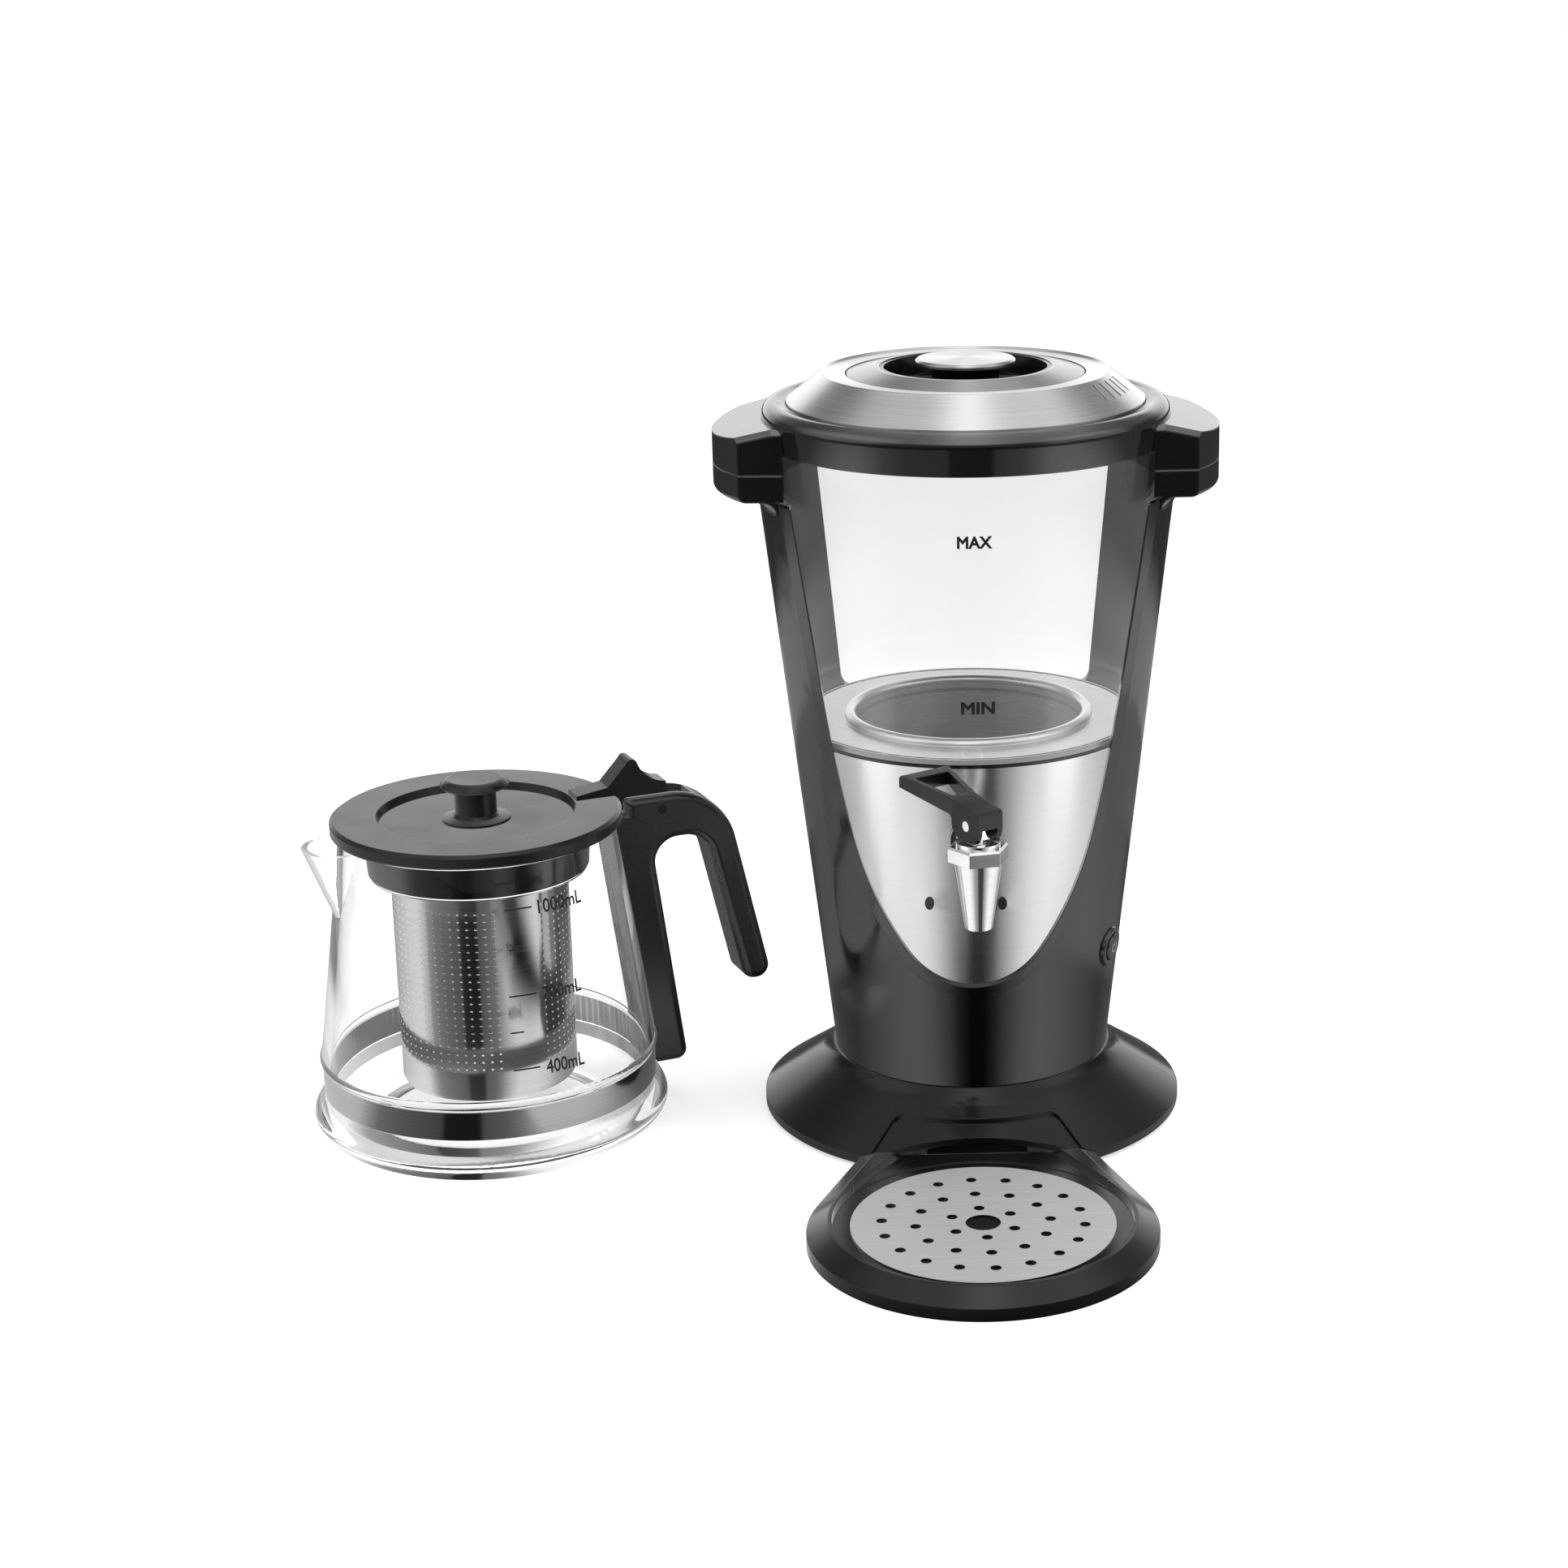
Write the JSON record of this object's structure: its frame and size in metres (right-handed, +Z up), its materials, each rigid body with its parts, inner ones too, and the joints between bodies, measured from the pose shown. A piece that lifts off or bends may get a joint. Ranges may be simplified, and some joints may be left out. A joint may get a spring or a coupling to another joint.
{
  "type": "electric samovar",
  "caption": "Conical electric samovar with a glass tank, lever tap, drip tray, side handles and two-part lid, and its glass teapot with infuser and hinged lid.",
  "frame": {"origin": "centre of the samovar's base on the surface it stands on", "axes": "+Z up along the body's axis, -Y towards the tap and drip tray, +X to the side with the power button"},
  "size_m": [0.335, 0.2659, 0.2825],
  "materials": {
    "black_gloss_plastic": "injection-moulded, polished",
    "black_matte_plastic": "satin moulded plastic",
    "zinc_steel": "zinc-plated steel",
    "black_rubber": "silicone rubber",
    "brushed_stainless": "brushed stainless steel",
    "polished_stainless": "bright stainless steel",
    "dark_lens": "tinted lens",
    "clear_glass": "clear borosilicate glass",
    "cast_aluminium": "cast aluminium",
    "cream_plastic": "moulded plastic",
    "board_green": "circuit board laminate",
    "chrome_plate": "chrome plate",
    "white_plastic": "white plastic"
  },
  "bodies": {
    "housing": {"base_skirt": "black_gloss_plastic", "bottom_plate": "black_matte_plastic", "base_screws": "zinc_steel", "base_feet": "black_rubber", "outer_shell": "black_gloss_plastic", "steel_jacket": "brushed_stainless", "indicator_lenses": "dark_lens", "tank_trim_ring": "black_matte_plastic", "boiling_vessel": "brushed_stainless", "tank_glass": "clear_glass", "heater_plate": "cast_aluminium", "heating_element": "zinc_steel", "thermostat": "cream_plastic", "control_board": "board_green", "cord_gland": "black_rubber", "collar": "black_gloss_plastic", "left_handle_lower": "black_gloss_plastic", "left_handle_upper": "black_gloss_plastic", "right_handle_lower": "black_gloss_plastic", "right_handle_upper": "black_gloss_plastic", "button_bezel": "black_gloss_plastic", "button_switch": "cream_plastic", "tap_body": "chrome_plate", "tap_washer": "black_rubber", "tap_lock_nut": "zinc_steel", "tap_vessel_seal": "black_rubber", "tap_bonnet_nut": "chrome_plate"},
    "outer_lid": {"lid_ring": "brushed_stainless", "lid_gasket": "black_rubber"},
    "centre_lid": {"inner_lid": "brushed_stainless", "lid_finger_cup": "black_matte_plastic", "lid_knob_screw": "zinc_steel", "lid_knob_cap": "brushed_stainless"},
    "button": {"power_button": "black_gloss_plastic"},
    "tap_turret": {"tap_guide": "chrome_plate"},
    "valve_stem": {"tap_stem": "black_matte_plastic", "tap_valve_cup": "black_rubber", "tap_pin": "white_plastic"},
    "lever": {"tap_lever": "black_matte_plastic"},
    "tray": {"drip_tray": "black_gloss_plastic"},
    "grate": {"drip_grate": "brushed_stainless"},
    "teapot": {"pot_glass": "clear_glass", "pot_band": "polished_stainless", "pot_handle": "black_matte_plastic", "pot_hinge_pin": "zinc_steel", "pot_holder_ring": "black_matte_plastic", "pot_infuser": "polished_stainless"},
    "teapot_lid": {"pot_lid": "black_matte_plastic", "pot_lid_knob": "black_matte_plastic"}
  },
  "joints": [
    {"name": "outer_lid_lift", "type": "slide", "parent": "housing", "child": "outer_lid", "axis": [0, 0, 1], "range_m": [0, 0.08]},
    {"name": "centre_lid_lift", "type": "slide", "parent": "outer_lid", "child": "centre_lid", "axis": [0, 0, 1], "range_m": [0, 0.06]},
    {"name": "button_press", "type": "slide", "parent": "housing", "child": "button", "axis": [-0.9007, 0.42, 0.111], "range_m": [0, 0.0012]},
    {"name": "tap_swivel", "type": "hinge", "parent": "housing", "child": "tap_turret", "pos_m": [0, -0.103, 0.1345], "axis": [0, 0, 1], "range_deg": [-110, 110]},
    {"name": "valve_lift", "type": "slide", "parent": "tap_turret", "child": "valve_stem", "axis": [0, 0, 1], "range_m": [0, 0.004]},
    {"name": "tap_lever_tilt", "type": "hinge", "parent": "valve_stem", "child": "lever", "pos_m": [0, -0.103, 0.1419], "axis": [0.829, 0.5592, 0], "range_deg": [0, 60]},
    {"name": "tray_slide", "type": "slide", "parent": "housing", "child": "tray", "axis": [0, -1, 0], "range_m": [0, 0.08]},
    {"name": "grate_lift", "type": "slide", "parent": "tray", "child": "grate", "axis": [0, 0, 1], "range_m": [0, 0.05]},
    {"name": "teapot_lift", "type": "slide", "parent": "housing", "child": "teapot", "axis": [0, 0, 1], "range_m": [0, 0.12]},
    {"name": "teapot_lid_hinge", "type": "hinge", "parent": "teapot", "child": "teapot_lid", "pos_m": [-0.11681, 0.00847, 0.116], "axis": [-0.3907, 0.9205, 0], "range_deg": [0, 75]}
  ],
  "couplings": [
    {"joint": "tap_lever_tilt", "follows": "valve_lift", "rad_per_m": 261.79}
  ]
}
